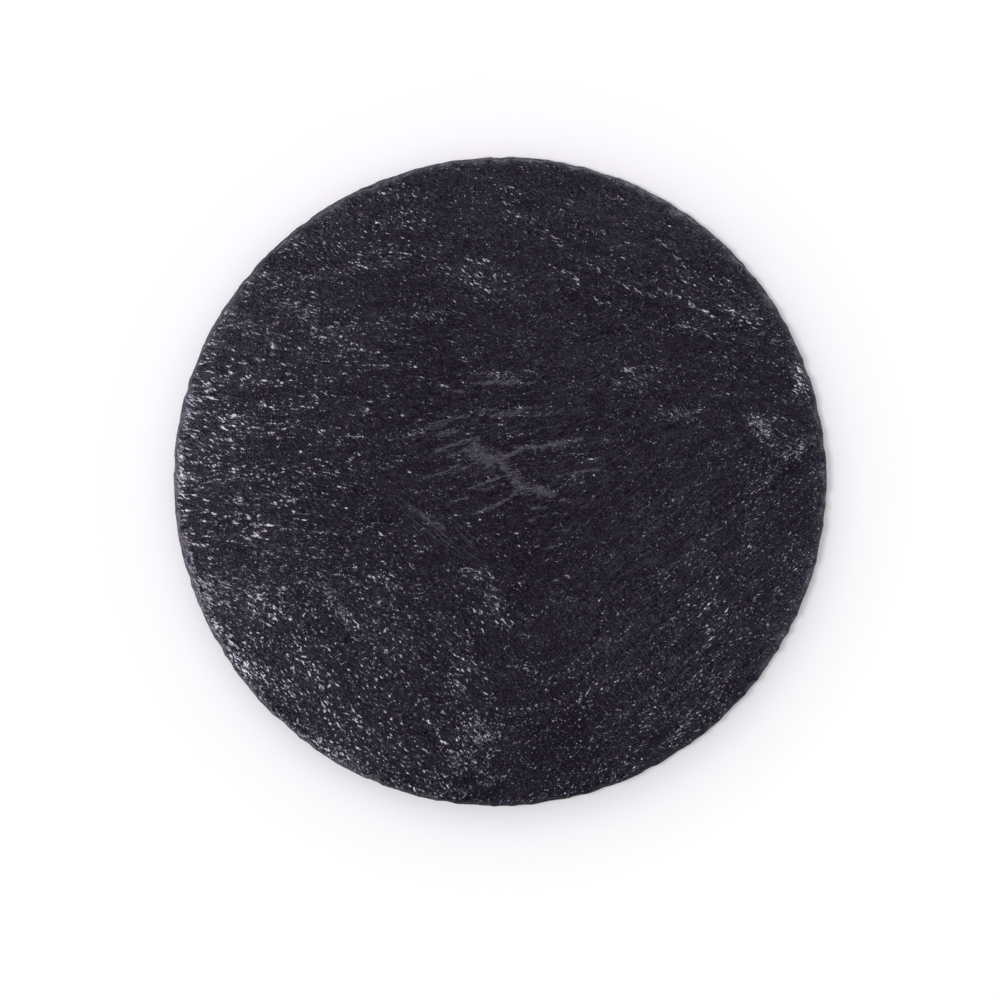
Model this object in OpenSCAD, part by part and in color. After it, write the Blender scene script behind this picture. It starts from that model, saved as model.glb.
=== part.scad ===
// Round slate placemat: a riven slate disc with a hand-dressed edge, lying on four
// self-adhesive foam feet. Millimetres, +Z up, origin on the table under the centre.

/* [Slate] */
// Diameter of the outline over the ridges between flake scars
disc_d = 300; // [220:1:400]
// Thickness from the underside to the highest cleft plane
slate_t = 5; // [4:0.1:9]
// Height of the two-lobed swell of the hand-cut outline
lobe2_out = 0.48; // [0:0.02:1.5]
// Direction of the first two-lobed swell, degrees from +X
lobe2_angle = 15; // [-90:1:90]
// Height of the three-lobed swell
lobe3_out = 0.18; // [0:0.02:1]
// Direction of the first three-lobed swell, degrees from +X
lobe3_angle = 32; // [-60:1:60]
// Height of the four-lobed swell
lobe4_out = 0.24; // [0:0.02:1]
// Direction of the first four-lobed swell, degrees from +X
lobe4_angle = -20; // [-45:1:45]

/* [Dressed edge] */
// Number of flake scars round the rim
scar_count = 78; // [40:1:110]
// Facets along one flake scar
scar_facets = 4; // [3:1:6]
// Share by which a ridge between two scars strays from even spacing
scar_stray = 0.7; // [0:0.05:0.8]
// Bite of the deepest scar into the outline
scar_bite = 0.6; // [0:0.05:1.5]
// Run of the bevel at the ridges between scars, seen from above
bevel_run = 1.1; // [0.6:0.1:2.5]
// Further run of the bevel on the side where it is widest
bevel_lean = 0.5; // [0:0.05:0.5]
// Direction of the widest bevel, degrees from +X
bevel_lean_angle = 115; // [-180:1:180]
// Further run of the bevel in the middle of the largest scar
scar_run = 1.8; // [0.4:0.1:3]
// Hollow of the largest scar, across its section
scar_hollow = 0.4; // [0:0.05:0.6]
// Height of the widest line above the underside
arris_h = 0.9; // [0.3:0.1:2]
// Setback of the underside's edge from the widest line
arris_in = 0.5; // [0.1:0.1:1.5]

/* [Broad ledge] */
// Where the axis of the broad ledge meets the rim, degrees from +X
broad_rim_angle = -47; // [-180:1:180]
// Turn of its axis from the way to the centre, degrees
broad_skew = 0; // [-40:1:40]
// Reach of its tip in from the rim
broad_reach = 116; // [40:1:180]
// Radius of its tip
broad_tip_r = 100; // [20:1:160]
// Depth of the split-off layer
broad_depth = 0.3; // [0.1:0.05:0.8]

/* [Narrow ledge] */
// Where the axis of the narrow ledge meets the rim, degrees from +X
narrow_rim_angle = 14; // [-180:1:180]
// Turn of its axis from the way to the centre, degrees
narrow_skew = -36; // [-40:1:40]
// Reach of its tip in from the rim
narrow_reach = 126; // [40:1:180]
// Radius of its tip
narrow_tip_r = 3; // [1:0.5:20]
// Depth of the split-off layer
narrow_depth = 0.45; // [0.1:0.05:0.8]

/* [Scarps] */
// Raggedness of a ledge's scarp line
scarp_ripple = 1.2; // [0:0.1:3]
// Length of one ripple along the scarp
scarp_wave = 17; // [8:1:40]

/* [Feet] */
// Diameter of a foam foot
foot_d = 12; // [6:0.5:25]
// Thickness of a foam foot
foot_t = 2.5; // [1:0.1:6]
// Chamfer that the die leaves on a foot's edges
foot_chamfer = 0.3; // [0:0.05:0.6]
// Distance of a foot's centre from the rim
foot_inset = 32; // [15:1:60]
// Thickness of the adhesive disc
adhesive_t = 0.2; // [0.1:0.05:0.5]
// Setback of the adhesive disc from the foot's edge
adhesive_in = 0.4; // [0:0.1:1.5]

/* [Hidden] */
$fn = 64;

disc_r = disc_d / 2;
underside_z = foot_t + adhesive_t;
top_z = underside_z + slate_t;

// Directions of the feet from the centre
FRONT_LEFT = 225;
FRONT_RIGHT = 315;
BACK_LEFT = 135;
BACK_RIGHT = 45;

// Steps of three uneven series, which set the scars' spacing, size and bite
SPACING_STEP = 0.618034;
SIZE_STEP = 0.414214;
BITE_STEP = 0.732051;

// Section rings of a flake scar, from the widest line up to the cleft plane
SCAR_RINGS = 3;
// Spacing of the points along a scarp
SCARP_STEP = 2;
// How far the cutters stand over the cleft plane
CUT_OVER = 1;

// An uneven value from 0 to 1 for the i-th scar
function uneven(i, step) = (i * step) % 1;

// A hollow that is 0 at both ends and 1 in the middle
function hollow(u) = 4 * u * (1 - u);

// Angle of the ridge before the i-th scar; the last ridge is the first again
function ridge_angle(i) =
    let (k = i % scar_count)
    360 / scar_count * (i + scar_stray * (uneven(k, SPACING_STEP) - 0.5));

// Angle at the share u along the i-th scar
function scar_angle(i, u) = ridge_angle(i) * (1 - u) + ridge_angle(i + 1) * u;

function lobe(count, out, angle, a) = out * cos(count * (a - angle));

// Radius of the widest line
function outline_r(i, u, a) =
    disc_r
    + lobe(2, lobe2_out, lobe2_angle, a)
    + lobe(3, lobe3_out, lobe3_angle, a)
    + lobe(4, lobe4_out, lobe4_angle, a)
    - scar_bite * uneven(i, BITE_STEP) * hollow(u);

// Setback from the widest line at the share w of the bevel's height
function setback(i, u, a, w) =
    let (scar = uneven(i, SIZE_STEP) * hollow(u))
    w * (bevel_run + bevel_lean * cos(a - bevel_lean_angle) + scar_run * scar)
    + hollow(w) * scar_hollow * scar;

function polar(r, a, z) = [r * cos(a), r * sin(a), z];

// One ring of the edge: w under 0 is the underside's edge, 0 the widest line and 1 the cleft plane
function edge_ring(w) = [
    for (i = [0 : scar_count - 1], j = [0 : scar_facets - 1])
        let (
            u = j / scar_facets,
            a = scar_angle(i, u),
            inward = w < 0 ? arris_in : setback(i, u, a, w),
            z = w < 0 ? underside_z : underside_z + arris_h + w * (slate_t - arris_h)
        )
        polar(outline_r(i, u, a) - inward, a, z)
];

// A closed body through rings of equal length, capped from its two centres
module loft(rings, low_centre, high_centre) {
    n = len(rings[0]);
    last = (len(rings) - 1) * n;
    low = last + n;
    high = low + 1;
    points = [for (ring = rings) each ring, low_centre, high_centre];
    sides = [
        for (k = [0 : len(rings) - 2], j = [0 : n - 1])
            let (a = k * n + j, b = k * n + (j + 1) % n)
            each [[a, a + n, b], [b, a + n, b + n]]
    ];
    low_cap = [for (j = [0 : n - 1]) [low, j, (j + 1) % n]];
    high_cap = [for (j = [0 : n - 1]) [high, last + (j + 1) % n, last + j]];
    polyhedron(points, concat(sides, low_cap, high_cap));
}

// The block of slate before any layer splits off its face
module dressed_block() {
    rings = [edge_ring(-1), for (k = [0 : SCAR_RINGS]) edge_ring(k / SCAR_RINGS)];
    loft(rings, [0, 0, underside_z], [0, 0, top_z]);
}

// Outline of a ledge with its tip at the origin, opening along +X
function tongue(tip_r, run) =
    let (half = sqrt(2 * tip_r * run), steps = ceil(half / SCARP_STEP))
    [
        for (k = [-steps : steps])
            let (
                y = half * k / steps,
                phase = 360 * y / scarp_wave,
                ragged = sin(phase) + 0.6 * sin(1.7 * phase + 40)
            )
            [y * y / (2 * tip_r) + scarp_ripple * ragged, y]
    ];

// A layer that has split off along the cleft, from its tip out past the rim
module split_layer(rim_angle, skew, reach, tip_r, depth) {
    way_in = rim_angle + 180 + skew;
    tip = polar(disc_r, rim_angle, 0) + polar(reach, way_in, 0);
    translate([tip.x, tip.y, top_z - depth])
        rotate(way_in + 180)
            linear_extrude(depth + CUT_OVER)
                polygon(tongue(tip_r, disc_d));
}

module slate_disc() {
    color("#2b2831")
        difference() {
            dressed_block();
            split_layer(broad_rim_angle, broad_skew, broad_reach, broad_tip_r, broad_depth);
            split_layer(narrow_rim_angle, narrow_skew, narrow_reach, narrow_tip_r, narrow_depth);
        }
}

// Sets a piece under the slate, on the ring of feet
module on_foot_ring(angle) {
    translate(polar(disc_r - foot_inset, angle, 0)) children();
}

module foam_foot(angle) {
    r = foot_d / 2;
    side = [
        [0, 0],
        [r - foot_chamfer, 0],
        [r, foot_chamfer],
        [r, foot_t - foot_chamfer],
        [r - foot_chamfer, foot_t],
        [0, foot_t],
    ];
    color("#1c1c1d")
        on_foot_ring(angle)
            rotate_extrude() polygon(side);
}

module adhesive_disc(angle) {
    color("#d8d4c4")
        on_foot_ring(angle)
            translate([0, 0, foot_t])
                cylinder(h = adhesive_t, r = foot_d / 2 - adhesive_in);
}

slate_disc();
foam_foot(FRONT_LEFT);  // foot_front_left
foam_foot(FRONT_RIGHT);  // foot_front_right
foam_foot(BACK_LEFT);  // foot_back_left
foam_foot(BACK_RIGHT);  // foot_back_right
adhesive_disc(FRONT_LEFT);  // adhesive_front_left
adhesive_disc(FRONT_RIGHT);  // adhesive_front_right
adhesive_disc(BACK_LEFT);  // adhesive_back_left
adhesive_disc(BACK_RIGHT);  // adhesive_back_right
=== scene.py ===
"""Round slate placemat on four foam feet: riven slate, dressed edge, feet and studio.

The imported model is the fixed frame. Each operator makes one piece, or one group of like
pieces, in that frame and in metres, and main() runs the operators in order.
"""

import math

import bpy
import numpy as np
from bpy.props import FloatProperty, FloatVectorProperty, IntProperty, PointerProperty
from bpy.types import Operator, Panel, PropertyGroup
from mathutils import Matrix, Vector
from mathutils.bvhtree import BVHTree


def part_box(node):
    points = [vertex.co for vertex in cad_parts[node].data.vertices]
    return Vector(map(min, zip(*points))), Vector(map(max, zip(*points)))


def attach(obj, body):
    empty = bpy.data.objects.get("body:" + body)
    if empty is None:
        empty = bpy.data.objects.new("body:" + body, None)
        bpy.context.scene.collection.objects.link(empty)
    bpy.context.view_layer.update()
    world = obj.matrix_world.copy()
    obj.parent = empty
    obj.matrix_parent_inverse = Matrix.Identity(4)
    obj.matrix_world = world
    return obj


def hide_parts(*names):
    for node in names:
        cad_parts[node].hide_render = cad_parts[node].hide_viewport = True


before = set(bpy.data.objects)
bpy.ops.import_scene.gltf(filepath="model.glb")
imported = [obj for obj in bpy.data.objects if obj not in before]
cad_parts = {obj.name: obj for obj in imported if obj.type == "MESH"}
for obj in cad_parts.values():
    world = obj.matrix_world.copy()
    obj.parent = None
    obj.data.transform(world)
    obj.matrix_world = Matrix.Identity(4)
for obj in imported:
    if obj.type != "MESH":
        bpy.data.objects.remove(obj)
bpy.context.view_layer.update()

bl_info = {
    "name": "Slate Placemat",
    "version": (1, 0, 0),
    "blender": (4, 5, 0),
    "location": "View3D > Sidebar > Placemat",
    "description": "Dresses the packed slate placemat with riven stone, foam feet and a studio",
    "category": "Add Mesh",
}

MM = 0.001
BODY = "root"
SLATE_NODE = "slate_disc"
CORNERS = ("front_left", "front_right", "back_left", "back_right")

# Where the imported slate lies
SLATE_LOW, SLATE_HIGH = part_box(SLATE_NODE)
SLATE_R = max(SLATE_HIGH.x, SLATE_HIGH.y)
# A length that clears the whole slate, from which rays start
CLEAR = 2 * SLATE_R

# The grid on which the fields of the cleft face are drawn, in millimetres
FIELD_STEP = 0.5
FIELD_COUNT = 640
# Taken from a count of grid points, this keeps a place just inside the last cell
LAST_CELL = 1.001


def length_property(name, description, default, low=0.0):
    """A length in metres."""
    return FloatProperty(
        name=name, description=description, default=default, min=low, unit="LENGTH", precision=5)


def colour_property(name, description, default):
    """A colour."""
    return FloatVectorProperty(
        name=name, description=description, default=default, subtype="COLOR", min=0, max=1)


def count_property(name, description, default, low, high):
    """A whole number."""
    return IntProperty(name=name, description=description, default=default, min=low, max=high)


class PlacematSlate(PropertyGroup):
    """Sizes and colours of the slate."""

    cells: count_property(
        "Cells across", "Mesh cells across the cleft face, a multiple of four", 480, 80, 800)
    edge_rings: count_property(
        "Edge rings", "Rings of mesh from the cleft face down to the underside", 13, 4, 30)
    swell_depth: length_property(
        "Swell", "Depth of the slow swell of the cleft face", 0.14 * MM)
    band_depth: length_property(
        "Bands", "Depth of the bands that run along the cleavage", 0.10 * MM)
    plate_depth: length_property(
        "Plates", "Thickness of two of the thin plates that have split away", 0.07 * MM)
    crinkle_depth: length_property(
        "Crinkle", "Depth of the fine crinkle where it is coarsest", 0.09 * MM)
    chip_depth: length_property(
        "Chips", "Depth of the small chips along the dressed edge", 0.5 * MM)
    stone: colour_property(
        "Stone", "Colour of the stone between the flecks", (0.0139, 0.0110, 0.0204))
    # Pale flecks: partly the stone's own pale mineral, partly painted glints of the light
    fleck_and_glint: colour_property(
        "Flecks", "Colour of the palest flecks", (0.34, 0.323, 0.380))
    rubbed: colour_property(
        "Rubbed streaks", "Colour of the rubbed streaks near the centre", (0.064, 0.058, 0.079))
    edge: colour_property(
        "Edge", "Colour of the fresh stone in the flake scars", (0.064, 0.059, 0.075))


class PlacematFeet(PropertyGroup):
    """Sizes and colours of the foam feet and their adhesive."""

    sides: count_property("Sides", "Mesh sides round a foot", 72, 16, 200)
    waist: length_property("Waist", "How far the die draws in the side of a foot", 0.18 * MM)
    cell_depth: length_property("Cells", "Depth of the foam's cut cells", 0.10 * MM)
    foam: colour_property("Foam", "Colour of the foam", (0.012, 0.012, 0.013))
    adhesive: colour_property("Adhesive", "Colour of the adhesive discs", (0.62, 0.60, 0.52))


class PlacematStage(PropertyGroup):
    """Camera, light and floor."""

    camera_height: length_property(
        "Camera height", "Height of the camera over the cleft face", 1.4, 0.3)
    picture_width: length_property(
        "Picture width", "Width of the picture at the height of the rim", 0.4587, 0.1)
    centre_right: length_property(
        "Centre right", "How far the slate's centre lies right of the picture's centre",
        0.03 * MM, -1)
    centre_up: length_property(
        "Centre up", "How far the slate's centre lies above the picture's centre",
        8.65 * MM, -1)
    floor: colour_property("Floor", "Colour of the floor", (0.945, 0.918, 0.972))


def smoothstep(low, high, value):
    """0 below low, 1 above high, and a smooth ramp between them."""
    t = np.clip((value - low) / (high - low), 0, 1)
    return t * t * (3 - 2 * t)


def share(noise, spread=0.22):
    """Noise of unit spread as a share from 0 to 1."""
    return np.clip(0.5 + spread * noise, 0, 1)


def chipped(noise, least, span=2):
    """Depth of the chips where noise of unit spread tops a height: 0 there, 1 a span above it."""
    return np.clip(noise - least, 0, span) / span


def grain_noise(seed, shape, steps, along, across, angle=0.0):
    """Repeating noise of unit spread, whose grains are drawn out along an angle in degrees.

    The steps are the spacings of rows and columns, and along and across the grain's
    half lengths, all in one unit.
    """
    white = np.random.default_rng(seed).standard_normal(shape)
    up = np.fft.fftfreq(shape[0], steps[0])[:, None]
    right = np.fft.rfftfreq(shape[1], steps[1])[None, :]
    turn = math.radians(angle)
    u = right * math.cos(turn) + up * math.sin(turn)
    v = up * math.cos(turn) - right * math.sin(turn)
    keep = np.exp(-2 * math.pi**2 * ((u * along) ** 2 + (v * across) ** 2))
    noise = np.fft.irfft2(np.fft.rfft2(white) * keep, s=shape)
    return noise / noise.std()


class CleftFields:
    """Fields over the cleft face on a square grid, in millimetres from the slate's centre."""

    # The flow of the cleavage: its angle at the centre, and how that grows to the right rim
    # and falls to the back rim
    FLOW_MID, FLOW_RIGHT, FLOW_BACK = 12, 14, 26
    # The crinkle's angle at the centre, and how it grows to the back rim
    CRINKLE_MID, CRINKLE_BACK = -37, 20
    # The ripples' angle in the back zone and how it falls to the right, and in two other zones
    BACK_LIE, BACK_LIE_RIGHT, FRONT_LIE, RIGHT_LIE = -12, 16, -50, 42
    # Angles between which turned grains are blended, and their step
    TURN_STEP = 20
    TURNS = np.arange(-60, 81, TURN_STEP)
    # Where each grain zone begins and where it is full, and the slants of two borders
    BACK_ZONE, BACK_SLANT, RIGHT_ZONE, RIGHT_SLANT = (20, 85), 0.25, (25, 85), 0.5
    FRONT_ZONE, FRONT_RIGHT_END = (-15, -75), (110, 30)
    # Half length of the waver of rows and strokes
    WAVER_GRAIN = 2.5

    def __init__(self):
        half = FIELD_STEP * FIELD_COUNT / 2
        line = np.arange(FIELD_COUNT) * FIELD_STEP - half
        self.half = half
        self.x, self.y = np.meshgrid(line, line)
        radius = SLATE_R / MM
        self.right, self.back = self.x / radius, self.y / radius
        self.flow = self.FLOW_MID + self.FLOW_RIGHT * self.right - self.FLOW_BACK * self.back
        self.crinkle = self.CRINKLE_MID + self.CRINKLE_BACK * self.back
        self.waver_x, self.waver_y = (self.plain(seed, self.WAVER_GRAIN) for seed in (63, 64))
        self.zones = self.grain_zones()
        self.ripple = (
            self.zones["left_grain"] * self.flow
            + self.zones["back_grain"] * (self.BACK_LIE - self.BACK_LIE_RIGHT * self.right)
            + self.zones["front_grain"] * self.FRONT_LIE
            + self.zones["right_grain"] * self.RIGHT_LIE
        )

    def grain_zones(self):
        """Shares, summing to 1, of the four zones in which the grain lies differently."""
        back = smoothstep(*self.BACK_ZONE, self.y + self.BACK_SLANT * self.x)
        right = smoothstep(*self.RIGHT_ZONE, self.x - self.RIGHT_SLANT * self.y) * (1 - back)
        front = smoothstep(*self.FRONT_ZONE, self.y) * smoothstep(*self.FRONT_RIGHT_END, self.x)
        front *= 1 - right
        left = np.clip(1 - back - front - right, 0, 1)
        return {"back_grain": back, "right_grain": right, "front_grain": front, "left_grain": left}

    def plain(self, seed, along, across=None, angle=0.0):
        """Noise whose grains all lie at one angle."""
        shape, steps = (FIELD_COUNT, FIELD_COUNT), (FIELD_STEP, FIELD_STEP)
        return grain_noise(seed, shape, steps, along, across or along, angle)

    def turned(self, seed, along, across, angles):
        """Noise whose grains follow a field of angles."""
        place = np.clip((angles - self.TURNS[0]) / self.TURN_STEP, 0, len(self.TURNS) - LAST_CELL)
        first = place.astype(int)
        later = place - first
        total = np.zeros_like(angles)
        for k, turn in enumerate(self.TURNS):
            weight = np.where(first == k, 1 - later, 0) + np.where(first + 1 == k, later, 0)
            if weight.any():
                total += weight * self.plain(seed, along, across, turn)
        return total / total.std()

    def soften(self, field, width):
        """The field blurred over a width."""
        up = np.fft.fftfreq(FIELD_COUNT, FIELD_STEP)[:, None]
        right = np.fft.rfftfreq(FIELD_COUNT, FIELD_STEP)[None, :]
        keep = np.exp(-2 * (math.pi * width) ** 2 * (up**2 + right**2))
        return np.fft.irfft2(np.fft.rfft2(field) * keep, s=field.shape)

    def blot(self, x, y, along, across, angle=0.0):
        """A soft oval spot of height 1, with its half lengths."""
        turn = math.radians(angle)
        dx, dy = self.x - x, self.y - y
        u = dx * math.cos(turn) + dy * math.sin(turn)
        v = dy * math.cos(turn) - dx * math.sin(turn)
        return np.exp(-0.5 * ((u / along) ** 2 + (v / across) ** 2))

    def blots(self, spots):
        """The sum of soft oval spots, each with its strength last."""
        return sum(s[-1] * self.blot(*s[:-1]) for s in spots)

    def rim(self, direction, spread, reach):
        """A soft crescent of height 1 along the rim."""
        inward = SLATE_R / MM - np.hypot(self.x, self.y)
        turn = (np.degrees(np.arctan2(self.y, self.x)) - direction + 180) % 360 - 180
        return np.exp(-0.5 * ((inward / reach) ** 2 + (turn / spread) ** 2))

    def row(self, points, width, waver):
        """A soft, wavering line of height 1 through points, with its half width."""
        x, y = self.x + waver * self.waver_x, self.y + waver * self.waver_y
        nearest = np.full_like(x, np.inf)
        for (x0, y0), (x1, y1) in zip(points, points[1:]):
            run = np.array([x1 - x0, y1 - y0], float)
            along = np.clip(((x - x0) * run[0] + (y - y0) * run[1]) / (run @ run), 0, 1)
            nearest = np.minimum(nearest, np.hypot(x - x0 - along * run[0], y - y0 - along * run[1]))
        return np.exp(-0.5 * (nearest / width) ** 2)

    def ring(self, x, y, radius, width):
        """A soft ring of height 1."""
        away = np.hypot(self.x - x, self.y - y)
        return np.exp(-0.5 * ((away - radius) / width) ** 2)

    def sample(self, field, x, y):
        """The field at points in millimetres, between its four nearest grid points."""
        c = np.clip((x + self.half) / FIELD_STEP, 0, FIELD_COUNT - LAST_CELL)
        r = np.clip((y + self.half) / FIELD_STEP, 0, FIELD_COUNT - LAST_CELL)
        i, j = r.astype(int), c.astype(int)
        v, u = r - i, c - j
        low = field[i, j] * (1 - u) + field[i, j + 1] * u
        high = field[i + 1, j] * (1 - u) + field[i + 1, j + 1] * u
        return low * (1 - v) + high * v


# Places on the cleft face, in millimetres right of and behind the slate's centre, with
# half lengths along and across, the angle, and a strength: clumps of flecks first, the last of
# them a broad place with fewer
CLUMPS = [
    (-135, 64, 8, 5, 50, 0.6),
    (-141, 36, 4, 5, 0, 0.4),
    (-120, 31, 9, 4, -5, 0.4),
    (-105, 32, 5, 3, -30, 0.3),
    (-110, 5, 11, 3.5, -10, 0.3),
    (-78, 4, 4, 2.5, -20, 0.8),
    (-97, -12, 4, 2.5, -30, 0.4),
    (-112, -20, 6, 3, -30, 0.3),
    (-75, -33, 5, 2.5, -20, 0.5),
    (-62, -22, 4, 2, -30, 0.4),
    (-146, 0, 2.5, 4, 0, 0.8),
    (-142, -54, 3, 8, 20, 0.6),
    (-116, -88, 6, 9, 40, 0.25),
    (-98, -60, 6, 3, -40, 0.2),
    (-80, -50, 7, 3, -40, 0.3),
    (-70, -65, 5, 3, -40, 0.3),
    (-55, -45, 3, 2.5, 0, 0.4),
    (-66, -110, 4, 2.5, -40, 0.2),
    (-64, -131, 12, 4, -25, 0.35),
    (-14, -40, 5, 3, -50, 0.6),
    (-3, -54, 6, 3, -60, 1.1),
    (-18, -95, 7, 3, -65, 0.7),
    (-11, -115, 7, 4, -55, 0.9),
    (-30, -73, 4, 3, -50, 0.5),
    (-5, -100, 4, 3, -50, 0.6),
    (-20, -127, 5, 3, -40, 0.5),
    (12, -86, 3, 2, -50, 0.6),
    (62, 48, 5, 2.5, -40, 1.2),
    (52, 45, 4, 2, -30, 0.8),
    (72, 51, 4, 2, 20, 0.8),
    (82, 31, 8, 2, 5, 1.1),
    (38, 12, 3, 2, -30, 0.7),
    (120, 24, 5, 2.5, -50, 1.2),
    (127, 15, 4, 2, -30, 1.0),
    (137, 14, 3, 4, 0, 0.8),
    (124, 2, 6, 2, 40, 0.9),
    (138, 47, 2.5, 7, 15, 1.6),
    (112, 76, 8, 5, -30, 0.7),
    (96, 90, 8, 4, -30, 0.5),
    (84, -112, 5, 3, 40, 0.55),
    (96, -60, 5, 3, 40, 0.6),
    (96, -70, 4, 2, -50, 0.8),
    (-10, 100, 6, 4, -15, 0.5),
    (-45, 104, 12, 2, -5, 0.5),
    (-83, 72, 6, 4, -20, 0.4),
    (5, 124, 4, 3, -30, 0.5),
    (0, 5, 48, 42, 0, -0.09),
]
# The share of flecks at the right of the face, what the left rim, the front zone and the front
# right's rim add, and the most that it comes to. The growth towards the left is painted glints,
# brighter on the side the light comes from
FEW, MORE, FRONT_MORE, FRONT_RIM_MORE, COARSE_MOST = 0.34, 0.53, 0.16, 0.4, 2.2
# The left rim, from the centre
LEFT_RIM = -150
# How unevenly the flecks lie: the even share, the uneven one and how far that one varies
EVEN, UNEVEN, UNEVEN_RANGE = 0.55, 0.45, 0.38
# Darker places
SHADES = [
    (12, -36, 20, 14, -30, -0.22),
    (37, -113, 8, 9, 0, -0.35),
    (-33, 60, 10, 35, 0, -0.12),
    (100, 62, 34, 8, -22, -0.18),
    (-55, -22, 8, 6, 0, -0.15),
    (-15, -138, 14, 5, 0, -0.20),
    (-10, 26, 26, 20, 0, -0.24),
    (2, 2, 36, 36, 0, -0.12),
]
# Rows of bright flecks, where a thin layer ends
FLECK_ROWS = [
    ((39, 101), (52, 93), (68, 84)),
    ((72, 88), (87, 82), (102, 74), (116, 69), (130, 63)),
    ((82, 71), (104, 65)),
    ((71, 111), (80, 105), (85, 97)),
    ((1, 128), (12, 121)),
    ((-29, 98), (-14, 97), (-1, 94)),
    ((23, 100), (37, 92)),
    ((-9, 89), (-1, 84)),
    ((22, 115), (28, 109)),
    ((44, 85), (49, 78)),
]
# Rubbed strokes, which feather out from a torn rib: the half width, strength and points of each
STROKES = [
    (4.2, 0.9, (-11, 14), (-7, 10)),
    (2.2, 0.9, (-5, 10), (1, 11)),
    (0.9, 1.0, (0, 9.5), (2.5, 5), (4, 2.5)),
    (2.4, 0.86, (3, 6), (10, -2)),
    (2.0, 0.9, (9, -3.5), (18, -3.5), (24, -6.5)),
    (0.9, 1.0, (-8, 44.2), (-3, 45.3), (8.5, 45.8)),
    (0.7, 0.8, (-22, 41.6), (-17.5, 41.2)),
    (0.5, 0.9, (8.5, 43.5), (17, 45.8)),
    (0.5, 0.8, (-14, 44.8), (-9, 44.4)),
    (0.6, 0.8, (-12, 49), (-6, 50)),
    (0.6, 0.9, (-24, 28.2), (-14.5, 30)),
    (0.6, 0.8, (-14, 31.5), (-2, 33.5)),
    (1.0, 0.9, (-3.5, 30), (9.5, 32.4)),
    (0.6, 0.8, (9.5, 33.3), (17, 33.8)),
    (0.5, 0.8, (13, 29.2), (29.5, 32)),
    (1.4, 0.75, (-32, 25), (-26, 27)),
    (1.1, 0.9, (-28.5, 21), (-21.5, 22.7)),
    (0.5, 0.8, (-44, 19.5), (-32, 24)),
    (0.9, 0.9, (-29.5, 14), (-18.5, 17.6), (-10, 20)),
    (0.6, 0.85, (-24, 11.2), (-15.5, 14.4)),
    (1.1, 1.0, (3, 11), (9.5, 14.4), (16.5, 16.2), (24, 17.4), (30.5, 17.8)),
    (0.6, 0.85, (30.5, 17.8), (37, 20)),
    (0.6, 0.8, (-35, 1.5), (-26, 4.2), (-18.5, 7)),
    (0.6, 0.75, (-23, 3), (-14.5, 6.5)),
    (0.8, 0.85, (-14, -3.6), (-5.5, 0), (3, 3)),
    (0.7, 0.75, (-10, -4.5), (2, -1.8)),
    (0.6, 0.75, (-21, -10), (-14.5, -7.3)),
    (0.9, 0.85, (-10.5, -14.2), (-2.7, -11.4), (7.5, -6)),
    (0.6, 0.8, (26, 1.5), (35, 3.8), (45, 5.6)),
    (0.7, 0.75, (28, -8.2), (33.5, -9)),
    (0.8, 0.8, (15, -12.8), (20.5, -12)),
    (0.6, 0.7, (13, -19.3), (26, -13.8)),
    (1.6, 0.6, (-42, -12), (-35, -16.5), (-26, -22)),
]
# The left rim, where the flecks are painted glints of the light: direction in degrees, its spread
# and reach inward
PAINTED_GLINT_RIM = (200, 40, 4.0)
# The same for a paler band just inside the rim
RIM_HALO = (40, 65, 4.5)
# The same for the front right's flecks
FRONT_RIM = (310, 45, 40)
# The same for painted light and shade inside the rim, with their strengths, pale or dark
RIM_PAINTED_LIGHT_AND_SHADE = (
    (65, 75, 32, 0.24),
    (195, 42, 26, 0.42),
    (150, 20, 6, 0.25),
    (285, 30, 5, -0.28),
    (342, 24, 9, 0.16),
)
# Painted light and shade on the dressed edge, lighter on the sides the light comes from and darker
# elsewhere: direction, spread and rise in light
EDGE_PAINTED_LIGHT = ((195, 38, 1.0), (65, 20, 0.5), (350, 24, 0.45), (285, 26, -0.6), (146, 18, -0.4))
# Hairlines, by the mask's name: their angle, length and width, and the spots where they lie
HAIRLINES = {
    "rising_hair": (47, 14, 0.6, [(85, -50, 45, 60, 40, 0.75), (60, 5, 40, 25, 30, 0.3)]),
    "falling_hair": (-38, 30, 0.8, [(-27, -21, 16, 6, -36, 1.8), (-55, 20, 25, 15, 0, 0.3)]),
    "crossing_hair": (-52, 3.5, 0.6, [(85, -70, 45, 55, 0, 0.7), (-10, -75, 60, 40, 0, 0.4)]),
    "left_hair": (-28, 2.4, 0.5, [(-100, 5, 55, 95, 0, 0.8)]),
    "flow_hair": (17, 7, 0.7, [(2, 14, 36, 28, 0, 0.7), (50, 75, 80, 45, 0, 0.5)]),
}
# A worn ring: its place, radius and half width
RING = (83, -73, 11, 0.35)
# A hollow near the right rim: its place, half lengths and angle, and its depth in metres
HOLLOW, HOLLOW_DEPTH = (132, 9, 6, 4, 20), 0.12 * MM
# Half width and waver of the rows of flecks, and waver of the rubbed strokes
ROW_WIDTH, ROW_WAVER, STROKE_WAVER = 0.55, 0.6, 0.3
# Heights of a noise at which one thin plate ends, and the half width of such a step
PLATE_LEVELS, PLATE_STEP = (-0.9, -0.1, 0.7, 1.4), 0.05
# How many plates the given thickness holds
PLATES_IN_DEPTH = 2
# Noises of the face: the seed, the half lengths along and across in millimetres, or one for both,
# and the angle of the swell
UNEVEN_NOISE, BAND_NOISE, FIBRE_NOISE = (11, 1.9, 1.2), (21, 6.0, 0.9), (22, 5.0, 0.5)
DUST_NOISE, SWELL_NOISE, CRINKLE_NOISE = (13, 3.5, 1.3), (31, 15, 11, 20), (51, 0.95, 0.42)
PLATE_NOISE, PLATE_SWELL, RING_NOISE = (41, 9.0, 2.2), (42, 9, 7), (65, 3.0)
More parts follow.
